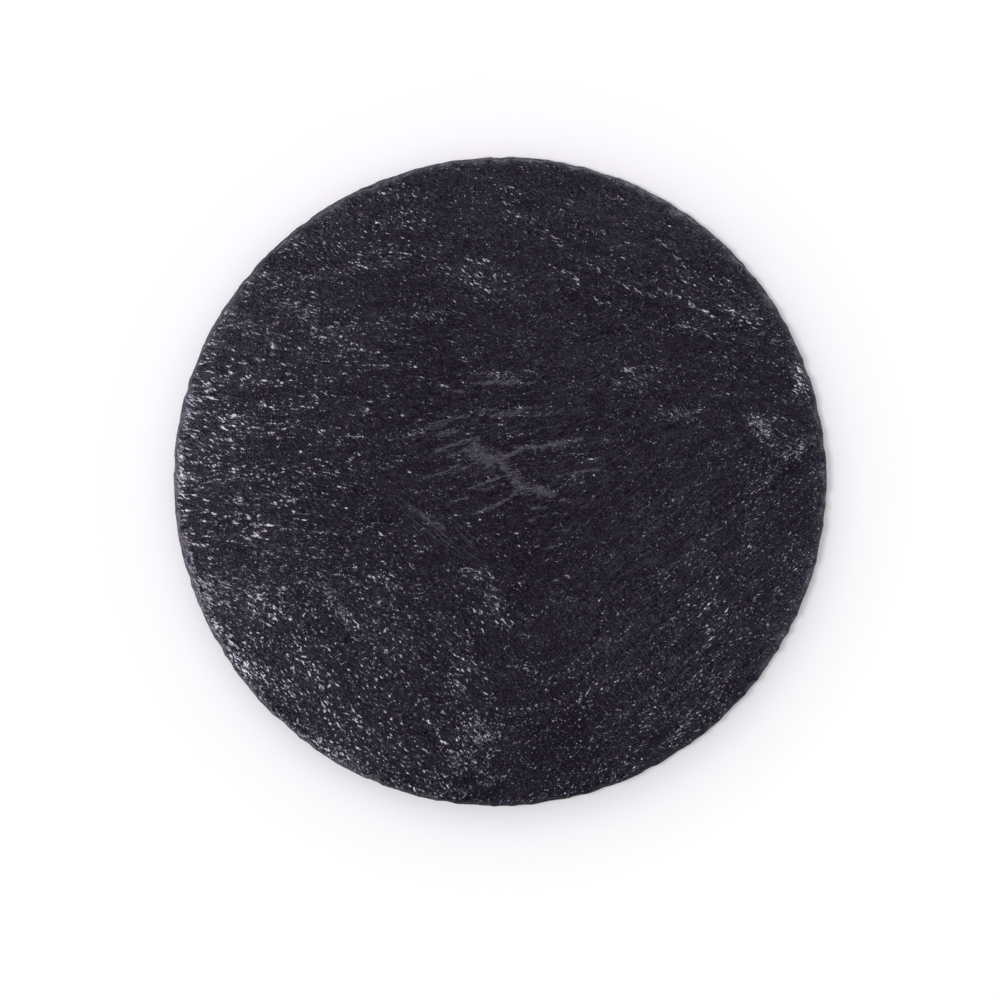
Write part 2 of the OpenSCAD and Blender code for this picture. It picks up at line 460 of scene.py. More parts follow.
# Turn of the uneven flecks from the ripples, share of the plates' swell, and the dust's range
UNEVEN_TURN, PLATE_SWELL_SHARE, DUST_RANGE = -25, 0.5, (-0.6, 1.6)
# Least share of the bands' depth, where flecks are few
BAND_LEAST = 0.3
# What each part adds to the tone of the face; the back-left part is painted light, brighter
# towards the back and left, and the hollow's part is painted shade in the hollow
BAND_TONE, CLUMP_TONE, FIBRE_TONE, HALO_TONE = 0.05, 0.16, 0.07, 0.5
SWELL_TONE, BACK_LEFT_PAINTED_LIGHT, HOLLOW_PAINTED_SHADE, RING_TONE = 0.05, 0.06, 0.5, 0.9


def cleft_fields(settings):
    """The face's depth in metres and its masks, by name, and the grid that they lie on."""
    grid = CleftFields()
    left = smoothstep(0, LEFT_RIM, grid.x)
    uneven = grid.turned(*UNEVEN_NOISE, grid.ripple + UNEVEN_TURN)
    clumps = EVEN + UNEVEN * np.exp(UNEVEN_RANGE * uneven)
    gathered = grid.blots(CLUMPS)
    # More flecks towards the left and along the left rim: painted glints on the side the light comes
    # from
    coarse = (FEW + MORE * left + FRONT_MORE * grid.zones["front_grain"]) * clumps
    coarse = coarse + gathered + grid.rim(*PAINTED_GLINT_RIM) + FRONT_RIM_MORE * grid.rim(*FRONT_RIM)
    coarse = np.clip(coarse, 0.0, COARSE_MOST)
    rows = sum(grid.row(points, ROW_WIDTH, ROW_WAVER) for points in FLECK_ROWS)
    bands = grid.turned(*BAND_NOISE, grid.ripple)
    dust = smoothstep(*DUST_RANGE, grid.turned(*DUST_NOISE, grid.ripple))
    swell = grid.plain(*SWELL_NOISE)
    plates = grid.turned(*PLATE_NOISE, grid.flow) + PLATE_SWELL_SHARE * grid.plain(*PLATE_SWELL)
    crinkle = grid.turned(*CRINKLE_NOISE, grid.crinkle)
    hollow = grid.blot(*HOLLOW)
    steps = sum(smoothstep(z - PLATE_STEP, z + PLATE_STEP, plates) for z in PLATE_LEVELS)
    strokes = [
        strength * grid.row(points, width, STROKE_WAVER) for width, strength, *points in STROKES
    ]
    polish = np.max(strokes, axis=0)
    depth = (
        settings.swell_depth * share(swell)
        + settings.band_depth * share(bands) * np.clip(coarse, BAND_LEAST, 1)
        + settings.plate_depth * (len(PLATE_LEVELS) - steps) / PLATES_IN_DEPTH
        + settings.crinkle_depth * share(crinkle) * coarse
        + HOLLOW_DEPTH * hollow
    )
    tone = (
        BAND_TONE * bands
        + CLUMP_TONE * gathered
        + FIBRE_TONE * grid.turned(*FIBRE_NOISE, grid.ripple)
        + HALO_TONE * grid.rim(*RIM_HALO)
        + SWELL_TONE * swell
        # Painted light and shade inside the rim
        + sum(strength * grid.rim(*crescent) for *crescent, strength in RIM_PAINTED_LIGHT_AND_SHADE)
        # Painted light, brighter towards the back and left
        + BACK_LEFT_PAINTED_LIGHT * (grid.back - grid.right)
        # Painted shade in the hollow
        - HOLLOW_PAINTED_SHADE * hollow
        + grid.blots(SHADES)
        + RING_TONE * grid.ring(*RING) * share(grid.plain(*RING_NOISE))
    )
    masks = {
        "coarse": coarse,
        "tone": tone,
        "polish": polish,
        "crinkle": crinkle,
        "ripple": bands,
        "dust": dust,
        "rows": rows,
        # Painted light and shade on the dressed edge
        "painted_edge_light": sum(
            rise * grid.rim(turn, spread, SLATE_R / MM) for turn, spread, rise in EDGE_PAINTED_LIGHT),
        **grid.zones,
    }
    for name, (_, _, _, spots) in HAIRLINES.items():
        masks[name] = grid.blots(spots)
    return grid, depth, masks


def disc_grid(cells):
    """Points of a unit disc laid out as a square grid of cells, row by row."""
    line = np.linspace(-1, 1, cells + 1)
    a, b = np.meshgrid(line, line)
    wide = np.abs(a) > np.abs(b)
    radius = np.where(wide, a, b)
    safe_a, safe_b = np.where(a == 0, 1, a), np.where(b == 0, 1, b)
    angle = np.where(wide, math.pi / 4 * b / safe_a, math.pi / 2 - math.pi / 4 * a / safe_b)
    return (radius * np.cos(angle)).ravel(), (radius * np.sin(angle)).ravel()


def grid_quads(cells, first=0, flip=False):
    """Faces of a square grid of cells whose points start at first."""
    i, j = np.meshgrid(np.arange(cells), np.arange(cells), indexing="ij")
    a = (first + i * (cells + 1) + j).ravel()
    quads = np.stack([a, a + 1, a + cells + 2, a + cells + 1], 1)
    return quads[:, ::-1] if flip else quads


def grid_border(cells, first=0):
    """The grid's border points, anticlockwise from its first point."""
    side = np.arange(cells)
    row = cells + 1
    south = side
    east = side * row + cells
    north = cells * row + cells - side
    west = (cells - side) * row
    return first + np.concatenate([south, east, north, west])


def slate_surface():
    """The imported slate's surface, ready for rays."""
    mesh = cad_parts[SLATE_NODE].data
    points = [v.co for v in mesh.vertices]
    return BVHTree.FromPolygons(points, [p.vertices for p in mesh.polygons])


def edge_radius(surface, angle, height):
    """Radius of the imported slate's edge at an angle and a height."""
    out = Vector((math.cos(angle), math.sin(angle), 0))
    start = out * CLEAR + Vector((0, 0, height))
    hit = surface.ray_cast(start, -out)[0]
    if hit is None:
        raise RuntimeError("a ray missed the slate's edge")
    return math.hypot(hit.x, hit.y)


def face_height(surface, x, y):
    """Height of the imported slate's upper face at a point."""
    hit = surface.ray_cast(Vector((x, y, CLEAR)), Vector((0, 0, -1)))[0]
    if hit is None:
        raise RuntimeError("a ray missed the slate's face")
    return hit.z


class SlateShape:
    """The slate's mesh: the cleft face, the dressed edge and the underside."""

    # How far in from the widest line the face's own height is read, clear of every scar
    FACE_READ = 4.2 * MM
    # A hair's breadth below the face, where its border is read
    SKIN = 0.02 * MM
    # Direction of the grid's first border point
    FIRST_TURN = math.radians(225)
    # Height over the underside at which the widest line is read
    ARRIS = 0.9 * MM
    # Share of the radius outside which the face's grid follows the border's chips
    FOLLOW = 0.86
    # The underside's grid has this many times fewer cells
    COARSER = 4
    # Ring of the underside's grid, in from the underside's edge
    UNDER_IN = 5 * MM
    # Depth of the underside's hollows, clear of the adhesive discs from one share of their
    # radius to another
    UNDER_DEPTH, UNDER_CLEAR = 0.14 * MM, (1.1, 1.8)
    # Ragged line of the ledges' scarps, in millimetres: how far it strays, the half lengths of
    # its fine and slow waver, and the width of the slope
    SCARP_STRAY, SCARP_GRAIN, SCARP_SLOW, SCARP_SLOPE = 1.1, 1.5, 4.0, 0.6
    # Chips of the edge: seed, half length along and down in millimetres
    FLAKES, GRIT, NIBBLES = (71, 1.7, 0.8), (72, 0.45, 0.35), (73, 1.1, 3.0)
    # Their shares of the chips' depth, and the heights of noise over which two of them begin
    FLAKE_SHARE, GRIT_SHARE, NIBBLE_SHARE = 0.6, 0.3, 1.1
    FLAKE_LEAST, NIBBLE_LEAST = 0.2, 0.9
    # The underside's broad and fine hollows: seed, half lengths and angle, and the fine ones' share
    UNDER_BROAD, UNDER_FINE, UNDER_FINE_SHARE = (91, 6.0, 3.5, 25), (92, 1.8, 1.2, -20), 0.6

    def __init__(self, settings):
        self.settings = settings
        self.cells = settings.cells - settings.cells % self.COARSER
        self.count = 4 * self.cells
        self.surface = slate_surface()
        self.grid, self.depth, self.masks = cleft_fields(settings)
        self.angles = self.FIRST_TURN + 2 * math.pi * np.arange(self.count) / self.count
        self.points, self.faces = [], []

    def chips(self, seed, along, across, rows):
        """Noise along the rim and down the edge, one row for each ring."""
        arc = 2 * math.pi * SLATE_R / MM / self.count
        down = (SLATE_HIGH.z - SLATE_LOW.z) / MM / self.settings.edge_rings
        return grain_noise(seed, (4 * rows, self.count), (down, arc), along, across)[:rows]

    def edge_rings(self):
        """Radii and heights of the rings from the face's border to the underside's edge."""
        low = SLATE_LOW.z
        rings = self.settings.edge_rings
        widest = [edge_radius(self.surface, a, low + self.ARRIS) for a in self.angles]
        inner = np.array(widest) - self.FACE_READ
        tops = [
            face_height(self.surface, r * math.cos(a), r * math.sin(a))
            for r, a in zip(inner, self.angles)
        ]
        tops = np.array(tops)
        fall = np.linspace(0, 1, rings + 1)[:, None]
        heights = tops + (low - tops) * fall
        read = np.clip(heights, low + self.SKIN, tops - self.SKIN)
        radii = np.array([
            [edge_radius(self.surface, a, z) for a, z in zip(self.angles, row)] for row in read
        ])
        rows = rings + 1
        flakes = chipped(self.chips(*self.FLAKES, rows), self.FLAKE_LEAST)
        grit = share(self.chips(*self.GRIT, rows))
        nibbles = chipped(self.chips(*self.NIBBLES, rows), self.NIBBLE_LEAST)
        upper = 1 - fall
        radii -= self.settings.chip_depth * (
            self.FLAKE_SHARE * flakes + self.GRIT_SHARE * grit + self.NIBBLE_SHARE * nibbles * upper)
        return radii, heights

    def build(self):
        """Fills in the points, faces and masks."""
        radii, heights = self.edge_rings()
        top = self.add_face(radii[0])
        self.add_edge(radii, heights, top)
        self.add_underside(radii[-1])

    def ledges(self, reach):
        """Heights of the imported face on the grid, with ragged, slightly sloping scarps."""
        grid = self.grid
        away = np.hypot(grid.x, grid.y) * MM
        inward = np.minimum(1, reach / np.maximum(away, MM))
        stray_x, stray_y = (
            self.SCARP_STRAY
            * (grid.plain(fine, self.SCARP_GRAIN) + grid.plain(slow, self.SCARP_SLOW))
            for fine, slow in ((81, 83), (82, 84))
        )
        read_x = (grid.x + stray_x) * inward * MM
        read_y = (grid.y + stray_y) * inward * MM
        heights = [face_height(self.surface, a, b) for a, b in zip(read_x.flat, read_y.flat)]
        return grid.soften(np.reshape(heights, away.shape), self.SCARP_SLOPE)

    def add_face(self, border):
        """The cleft face, whose border takes the given radii. Gives the border's points."""
        ux, uy = disc_grid(self.cells)
        rho = np.hypot(ux, uy)
        angle = np.arctan2(uy, ux)
        mean = border.mean()
        order = np.argsort(np.mod(self.angles, 2 * math.pi))
        turns = np.mod(self.angles, 2 * math.pi)[order]
        own = np.interp(np.mod(angle, 2 * math.pi), turns, border[order], period=2 * math.pi)
        follow = smoothstep(self.FOLLOW, 1, rho)
        radius = rho * (mean + (own - mean) * follow)
        x, y = radius * np.cos(angle), radius * np.sin(angle)
        packed = self.grid.sample(self.ledges(border.min() - self.FACE_READ), x / MM, y / MM)
        z = packed - self.grid.sample(self.depth, x / MM, y / MM)
        self.rho = rho
        self.top_count = len(x)
        self.points.append(np.stack([x, y, z], 1))
        self.faces += grid_quads(self.cells).tolist()
        return grid_border(self.cells)

    def add_edge(self, radii, heights, top):
        """The dressed edge, ring under ring, from the face's border."""
        rings = self.settings.edge_rings
        border_z = self.points[0][top, 2]
        above = top
        self.edge_first = self.top_count
        for k in range(1, rings + 1):
            fall = k / rings
            drop = (heights[0] - border_z) * (1 - fall)
            ring = np.stack([
                radii[k] * np.cos(self.angles),
                radii[k] * np.sin(self.angles),
                heights[k] - drop,
            ], 1)
            self.points.append(ring)
            below = self.edge_first + (k - 1) * self.count + np.arange(self.count)
            quads = np.stack([above, below, np.roll(below, -1), np.roll(above, -1)], 1)
            self.faces += quads.tolist()
            above = below
        self.last_ring = above

    def add_underside(self, rim):
        """The underside, whose coarser grid is joined to the edge's last ring."""
        cells = self.cells // self.COARSER
        ux, uy = disc_grid(cells)
        rho, angle = np.hypot(ux, uy), np.arctan2(uy, ux)
        radius = rho * (rim.min() - self.UNDER_IN)
        x, y = radius * np.cos(angle), radius * np.sin(angle)
        grid = self.grid
        broad, fine = (
            grid.sample(share(grid.plain(*noise)), x / MM, y / MM)
            for noise in (self.UNDER_BROAD, self.UNDER_FINE)
        )
        hollow = broad + self.UNDER_FINE_SHARE * fine
        for corner in CORNERS:
            low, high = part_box("adhesive_" + corner)
            mid, reach = (low + high) / 2, (high.x - low.x) / 2
            away = np.hypot(x - mid.x, y - mid.y)
            hollow *= smoothstep(*(reach * clear for clear in self.UNDER_CLEAR), away)
        z = SLATE_LOW.z + self.UNDER_DEPTH * hollow
        first = self.edge_first + self.settings.edge_rings * self.count
        self.under_first = first
        self.points.append(np.stack([x, y, z], 1))
        self.seam_faces = len(self.faces)
        border = grid_border(cells, first)
        for k in range(len(border)):
            span = range(self.COARSER * k, self.COARSER * (k + 1) + 1)
            fine = [self.last_ring[m % self.count] for m in span]
            coarse = [border[(k + 1) % len(border)], border[k]]
            self.faces.append([int(p) for p in fine[::-1] + coarse[::-1]])
        self.faces += grid_quads(cells, first, flip=True).tolist()


# Shares of the face's radius between which its border wears into the edge, and how they stray
WEAR_FROM, WEAR_TO, WEAR_STRAY = 0.988, 1.002, 0.004
# How much of the edge's finish the worn border and the underside have, and the flecks off the face
BORDER_EDGE, UNDER_EDGE, PLAIN_COARSE = 0.55, 0.25, 0.6
# Shares of the edge's height between which its finish comes in, from above the face down
EDGE_FROM, EDGE_FULL = -0.6, 0.3
# How far the grain is warped, and half lengths of the warp and the wear, in millimetres
WARP, WARP_GRAIN, WEAR_GRAIN = 1.3, 11, 1.4


def slate_attributes(shape, co):
    """The masks of the slate's material, point by point, and the warped place of its grain."""
    grid = shape.grid
    x, y = co[:, 0] / MM, co[:, 1] / MM
    top = np.zeros(len(co), bool)
    top[:shape.top_count] = True
    values = {name: grid.sample(field, x, y) for name, field in shape.masks.items()}
    stray = WEAR_STRAY * grid.sample(grid.plain(95, WEAR_GRAIN), x, y)[top]
    wear = smoothstep(WEAR_FROM, WEAR_TO, shape.rho + stray)
    rings = np.arange(1, shape.settings.edge_rings + 1) / shape.settings.edge_rings
    edge = np.zeros(len(co))
    edge[:shape.top_count] = BORDER_EDGE * wear
    edge[shape.edge_first:shape.under_first] = np.repeat(
        smoothstep(EDGE_FROM, EDGE_FULL, rings), shape.count)
    edge[shape.under_first:] = UNDER_EDGE
    values["edge"] = edge
    for name in ("polish", "rows", *HAIRLINES):
        values[name] = np.where(top, values[name], 0)
    values["coarse"] = np.where(top, values["coarse"], PLAIN_COARSE)
    warp_x, warp_y = (
        WARP * grid.sample(grid.plain(seed, WARP_GRAIN), x, y) for seed in (96, 97))
    return values, np.stack([x + warp_x, y + warp_y, co[:, 2] / MM], 1)


def new_piece(name, points, faces, material):
    """A smooth-shaded mesh object in the scene."""
    mesh = bpy.data.meshes.new(name)
    mesh.from_pydata(points.tolist() if hasattr(points, "tolist") else points, [], faces)
    mesh.validate()
    mesh.shade_smooth()
    mesh.materials.append(material)
    piece = bpy.data.objects.new(name, mesh)
    bpy.context.scene.collection.objects.link(piece)
    return piece


def bake_map(piece, shape, co):
    """The piece's own flat map: the face with the edge round it, and the underside beside it."""
    centre, reach, edge_spread = 0.45, 0.44, 1.15
    under_centre, under_reach = 0.865, 0.125
    ring = np.zeros(len(co))
    ring[shape.edge_first:shape.under_first] = np.repeat(
        np.arange(1, shape.settings.edge_rings + 1), shape.count
    )
    angle = np.arctan2(co[:, 1], co[:, 0])
    radius = np.hypot(co[:, 0], co[:, 1])
    ring_step = (SLATE_HIGH.z - SLATE_LOW.z) * edge_spread / shape.settings.edge_rings
    border = grid_border(shape.cells)
    from_border = np.zeros(len(co))
    from_border[shape.edge_first:shape.under_first] = np.tile(
        radius[border], shape.settings.edge_rings
    )
    flat = np.where(ring > 0, from_border + ring * ring_step, radius)
    scale = reach / flat[:shape.under_first].max()
    upper = centre + np.stack([scale * flat * np.cos(angle), scale * flat * np.sin(angle)], 1)
    under_scale = under_reach / radius[shape.last_ring].max()
    lower = under_centre + under_scale * co[:, :2] * (-1, 1)
    mesh = piece.data
    corner_point = np.zeros(len(mesh.loops), np.int32)
    mesh.loops.foreach_get("vertex_index", corner_point)
    starts = np.zeros(len(mesh.polygons), np.int32)
    mesh.polygons.foreach_get("loop_start", starts)
    is_lower = np.arange(len(corner_point)) >= starts[shape.seam_faces]
    uv = np.where(is_lower[:, None], lower[corner_point], upper[corner_point])
    layer = mesh.uv_layers.new(name="OFBake")
    layer.data.foreach_set("uv", uv.astype(np.float32).ravel())


class Signal:
    """A node's output to reckon with: each sum, difference, product or power adds a Math node."""

    def __init__(self, nodes, socket):
        self.nodes, self.socket = nodes, socket

    def __add__(self, other):
        return self.nodes.maths("ADD", self, other)

    def __sub__(self, other):
        return self.nodes.maths("SUBTRACT", self, other)

    def __rsub__(self, other):
        return self.nodes.maths("SUBTRACT", other, self)

    def __mul__(self, other):
        return self.nodes.maths("MULTIPLY", self, other)

    def __pow__(self, power):
        return self.nodes.maths("POWER", self, power)


class Nodes:
    """A node tree, with short ways to add what the finishes use."""

    def __init__(self, tree):
        self.tree = tree
        tree.nodes.clear()

    def feed(self, node, socket, source):
        """Links a signal, or a node's first output, to an input, or sets the input's value."""
        if isinstance(source, Signal):
            self.tree.links.new(source.socket, node.inputs[socket])
        elif isinstance(source, bpy.types.Node):
            self.tree.links.new(source.outputs[0], node.inputs[socket])
        else:
            node.inputs[socket].default_value = source

    def add(self, kind, feeds=None, **settings):
        """Adds a node, with its settings and what feeds its inputs."""
        node = self.tree.nodes.new(kind)
        for name, value in settings.items():
            setattr(node, name, value)
        for socket, source in (feeds or {}).items():
            self.feed(node, socket, source)
        return node

    def signal(self, output, kind, feeds=None, **settings):
        """The named or numbered output of a new node."""
        return Signal(self, self.add(kind, feeds, **settings).outputs[output])

    def maths(self, operation, a, b=0.0, clamp=False):
        """Two numbers reckoned together."""
        return self.signal(0, "ShaderNodeMath", {0: a, 1: b}, operation=operation, use_clamp=clamp)

    def grown(self, power):
        """e to a power."""
        return self.maths("EXPONENT", power)

    def vector(self, operation, a, b=None):
        """One or two vectors reckoned together."""
        feeds = {0: a} if b is None else {0: a, 1: b}
        return self.signal(0, "ShaderNodeVectorMath", feeds, operation=operation)

    def scaled(self, vector, factor):
        """A vector or colour times a number."""
        feeds = {0: vector, "Scale": factor}
        return self.signal(0, "ShaderNodeVectorMath", feeds, operation="SCALE")

    def part(self, vector, axis):
        """One part of a vector or colour, by its axis."""
        return self.signal(axis, "ShaderNodeSeparateXYZ", {0: vector})

    def turned(self, vector, angle):
        """The vector turned so that its X runs along an angle in degrees."""
        feeds = {"Vector": vector, "Angle": -math.radians(angle)}
        return self.signal(0, "ShaderNodeVectorRotate", feeds, rotation_type="Z_AXIS")

    def ramp(self, value, low, high, to_low=0.0, to_high=1.0):
        """A smooth ramp from low to high."""
        feeds = {
            "Value": value, "From Min": low, "From Max": high, "To Min": to_low, "To Max": to_high,
        }
        return self.signal(0, "ShaderNodeMapRange", feeds, interpolation_type="SMOOTHSTEP")

    def blend(self, factor, a, b):
        """A mix of two colours."""
        return self.signal(2, "ShaderNodeMix", {0: factor, 6: a, 7: b}, data_type="RGBA")

    def mask(self, name):
        """A point mask of the mesh."""
        return self.signal("Fac", "ShaderNodeAttribute", attribute_name=name)

    def place(self):
        """The place in metres."""
        return self.signal("Object", "ShaderNodeTexCoord")

    def noise(self, vector, sizes, detail=2.0, roughness=0.55, dimensions="2D"):
        """Noise whose grains have the given sizes, in the vector's unit."""
        placed = self.vector("MULTIPLY", vector, tuple(1 / s for s in sizes))
        feeds = {"Vector": placed, "Scale": 1.0, "Detail": detail, "Roughness": roughness}
        return self.signal("Fac", "ShaderNodeTexNoise", feeds, noise_dimensions=dimensions)

    def laid_noise(self, vector, angle, length, width, *detail):
        """Noise whose grains are drawn out along an angle in degrees."""
        return self.noise(self.turned(vector, angle), (length, width, 1), *detail)

    def facets(self, vector, length, width):
        """Random colours of flat facets of a length and a width, in the vector's unit."""
        placed = self.vector("MULTIPLY", vector, (1 / length, 1 / width, 0))
        feeds = {"Vector": placed, "Scale": 1.0}
        return self.signal("Color", "ShaderNodeTexVoronoi", feeds, voronoi_dimensions="2D")

    def cells(self, vector, size, output="Distance"):
        """Rounded cells of a size: how far their middles are, or their random colours."""
        return self.signal(output, "ShaderNodeTexVoronoi", {"Vector": vector, "Scale": 1 / size})

    def bump(self, height, distance, strength=1.0, **normal):
        """The normal bumped by a height, which may start from another normal."""
        feeds = {"Strength": strength, "Distance": distance, "Height": height, **normal}
        return self.signal(0, "ShaderNodeBump", feeds)


def new_material(name):
    """A material without nodes yet, and its tree."""
    material = bpy.data.materials.new(name)
    material.use_nodes = True
    return material, Nodes(material.node_tree)


def new_finish(name):
    """A material, its tree and its shader."""
    material, nodes = new_material(name)
    shader = nodes.add("ShaderNodeBsdfPrincipled")
    nodes.add("ShaderNodeOutputMaterial", {"Surface": shader})
    return material, nodes, shader


# The grains of the face: the angle in degrees, length and width in millimetres of a facet, the
# same of a clump, and the light of the brightest facets, whose flecks are partly painted glints
GRAINS = {
    "back_grain": (-31, 1.50, 0.37, -20, 3.6, 0.9, 4.6),
    "left_grain": (-42, 1.30, 0.42, -4, 4.4, 1.3, 5.4),
    "front_grain": (-50, 1.30, 0.43, -36, 2.6, 1.3, 5.0),
    "right_grain": (44, 1.20, 0.35, 34, 2.3, 1.0, 3.0),
}
# The other masks of the face and edge
MASKS = ("coarse", "tone", "edge", "painted_edge_light", "polish", "crinkle", "ripple", "rows", "dust")
# The middle of a random colour
MIDDLE = (0.5, 0.5, 0.5)
# Detail and roughness of the clumps, and how strongly the ripples draw them together
CLUMP_DETAIL, RIPPLE_PULL = (1.6, 0.5), 0.04
# The clump's height at which flecks begin, how much lower that is where they are many, and the
# rise to the full light
CLUMP_LEAST, CLUMP_LOWER, CLUMP_RISE = 0.75, 0.20, 0.20
# Powers that make bright facets, the painted shadows beside them, pins and the painted shade of pit
# cells rare
FLECK_LUCK, SHADE_LUCK, PIN_LUCK, PIT_LUCK = 5.0, 4.0, 65.0, 7.0
# The most light of a fleck, and the depths of the painted shadows beside flecks and of the painted
# shade of pit cells
FLECK_MOST, SHADE_DEPTH, PIT_DEPTH = 2.2, 2.0, 2.6
# Beads in the rows: the luck and the clump's height between which they grow, and their light
BEAD_LUCK, BEAD_CLUMP, BEAD_LIGHT = (0.74, 0.86), (0.38, 0.52), 0.32
# Pins: length and width in millimetres, the light where they are few, how it grows, and its
# range from clean to dusted places
PIN_SIZE, PIN_FEW, PIN_MORE, PIN_DUST = (0.45, 0.42), 0.36, 1.1, (0.4, 1.6)
# Hairlines: the noise's heights between which they grow, and their light
HAIR_RISE, HAIR_LIGHT = (0.60, 0.70), 0.06
# How flecks and hairlines waver: size and reach in millimetres
FLECK_WAVER, HAIR_WAVER = (2.2, 0.9), (6.0, 1.5)
# The finest grain: its size in millimetres, its strength and how that grows with the flecks
GRAIN_SIZE, GRAIN_LEAST, GRAIN_MORE = 0.46, 2.2, 1.4
# Noises of the face: the angle in degrees, length and width in millimetres, and for some the
# detail and the roughness
MIDDLE_NOISE = (-20, 4.0, 1.6)
PATCH_NOISE = (-15, 9.0, 4.5)
FILAMENT_NOISE = (17, 4.0, 0.5, 3.0, 0.7)
TATTER_NOISE = (22, 0.9, 0.45, 1.0)
# Calm and rough patches: the noise's heights between which they change, and their strengths
PATCH_RISE, PATCH_RANGE = (0.42, 0.58), (0.50, 1.15)
# Shares of the middle noise, the mesh's crinkle and the facets' lean in the crinkle; the mesh's
# share is painted shade in the crinkle's hollows and the lean's share painted light on facets
# that lean to the back
MIDDLE_SHARE, MESH_SHARE, LEAN_SHARE = 0.4, -0.15, 1.6
# How the crinkle and the relief of the clumps brighten the stone, both partly painted shading,
# and the light that they scale
CRINKLE_GLOW, RELIEF_PAINTED_SHADING, GLOW_LIGHT = 0.5, 0.9, 0.05
# Streaks: how filaments tear them, where they begin, and how crinkle and filaments shade them
TEAR, TEAR_MIDDLE, TORN_RISE, RUB_RISE = 2.6, 1.8, (0.62, 0.74), (0.10, 0.35)
RUB_CRINKLE, RUB_STRANDS = 0.34, 1.8
# Layers, mottle and grains of the dressed edge: their sizes, the ranges of their light, and the
# detail and roughness of two of them
LAYER_SIZE, LAYER_RAMP = (7 * MM, 7 * MM, 0.55 * MM), (0.35, 0.65, 0.50, 1.40)
MOTTLE_SIZE, MOTTLE_RAMP = (2.4 * MM, 2.4 * MM, 1.2 * MM), (0.3, 0.7, 0.6, 1.4)
LAYER_DETAIL, MOTTLE_DETAIL = (3.0, 0.6), (2.0, 0.5)
EDGE_GRAIN, EDGE_GRAIN_MIDDLE, EDGE_GRAIN_LIGHT = 0.46 * MM, 0.55, 1.4
# Gloss of the stone, its roughness over the finest grain, and what streaks and edge change
STONE_GLOSS, STONE_ROUGH, STREAK_SMOOTH, EDGE_ROUGH = 0.06, (-0.3, 0.3, 0.66, 0.52), 0.06, 0.2
# Bump of the crinkle, the flecks and the edge's layers, and the lean of the facets
CRINKLE_BUMP, FLECK_BUMP, FACE_BUMP, EDGE_BUMP, FACET_LEAN = 0.5, 1.5, 0.03 * MM, 0.25 * MM, 0.4


def wavering(nodes, place, size, reach):
    """The place shifted by a slow noise, so that the grain that is laid on it wavers."""
    feeds = {"Vector": place, "Scale": 1 / size, "Detail": 1.0}
    noise = nodes.signal("Color", "ShaderNodeTexNoise", feeds, noise_dimensions="2D")
    shift = nodes.scaled(nodes.vector("SUBTRACT", noise, MIDDLE), reach)
    return nodes.vector("ADD", place, shift)


def sharp_grain(nodes, place, size):
    """Fine grain about 0: a cell's random value against those of two places beside it."""
    here, right, back = (
        nodes.part(nodes.facets(nodes.vector("ADD", place, offset), size, size), "X")
        for offset in ((0, 0, 0), (size, 0, 0), (0, size, 0))
    )
    return here - (right + back) * 0.5


def grain_facets(nodes, place, masks, zone):
    """One grain's facets: their flecks' light, partly painted glints, the painted shadow beside each
    bright facet, random colours, and the clumps' rise, which is painted as shading.
    """
    angle, length, width, clump_angle, clump_length, clump_width, brightest = GRAINS[zone]
    along = nodes.turned(place, angle)
    cells = nodes.facets(along, length, width)
    luck = nodes.part(cells, "X")
    clumps = nodes.laid_noise(place, clump_angle, clump_length, clump_width, *CLUMP_DETAIL)
    clumps = clumps + masks["ripple"] * RIPPLE_PULL
    least = CLUMP_LEAST - masks["coarse"] * CLUMP_LOWER
    clump = nodes.ramp(clumps, least, least + CLUMP_RISE)
    beads = masks["rows"] * nodes.ramp(luck, *BEAD_LUCK, 0.0, BEAD_LIGHT)
    beads = beads * nodes.ramp(clumps, *BEAD_CLUMP)
    light = (clump * luck**FLECK_LUCK + beads) * brightest
    light = nodes.maths("MINIMUM", light, FLECK_MOST) * masks[zone]
    # A painted shadow, a facet's width to one side of each bright facet
    beyond = nodes.vector("ADD", along, (0, -width, 0))
    shaded = nodes.part(nodes.facets(beyond, length, width), "X")
    shade = clump * shaded**SHADE_LUCK * masks[zone]
    # The clumps' relief, painted as shading: lighter on the clumps, darker between
    rise = (clumps - 0.5) * masks[zone]
    return light, shade, nodes.scaled(cells, masks[zone]), rise


def pins_and_pit_shade(nodes, place, masks):
    """Pinprick flecks, which gather where the face is dusted with them, and the painted shade of
    dark pit cells.
    """
    luck = nodes.facets(place, *PIN_SIZE)
    most = masks["coarse"] * PIN_MORE + PIN_FEW
    most = most * nodes.ramp(masks["dust"], 0.0, 1.0, *PIN_DUST)
    # The second value is painted shade in pit cells
    return nodes.part(luck, "X") ** PIN_LUCK * most, nodes.part(luck, "Y") ** PIT_LUCK * PIT_DEPTH


def flecks_and_glints(nodes, grain, masks):
    """All flecks' light, partly painted glints, the painted shade of pit cells and of the flecks'
    shadows, the clumps' rise as painted shading, and the facets' lean.
    """
    flecks, painted_shade = pins_and_pit_shade(nodes, grain, masks)
    wavy = wavering(nodes, grain, *FLECK_WAVER)
    relief, lean = None, None
    for zone in GRAINS:
        light, shade, facet, rise = grain_facets(nodes, wavy, masks, zone)
        flecks = flecks + light
        # The painted shade of pit cells and of the shadows beside flecks
        painted_shade = painted_shade + shade * SHADE_DEPTH
        relief = rise if relief is None else relief + rise
        lean = facet if lean is None else nodes.vector("ADD", lean, facet)
    wavy = wavering(nodes, grain, *HAIR_WAVER)
    for name, (angle, length, width, _) in HAIRLINES.items():
        lines = nodes.laid_noise(wavy, angle, length, width, 0.0)
        flecks = flecks + nodes.ramp(lines, *HAIR_RISE, 0.0, HAIR_LIGHT) * masks[name]
    return flecks, painted_shade, relief, nodes.vector("SUBTRACT", lean, MIDDLE)


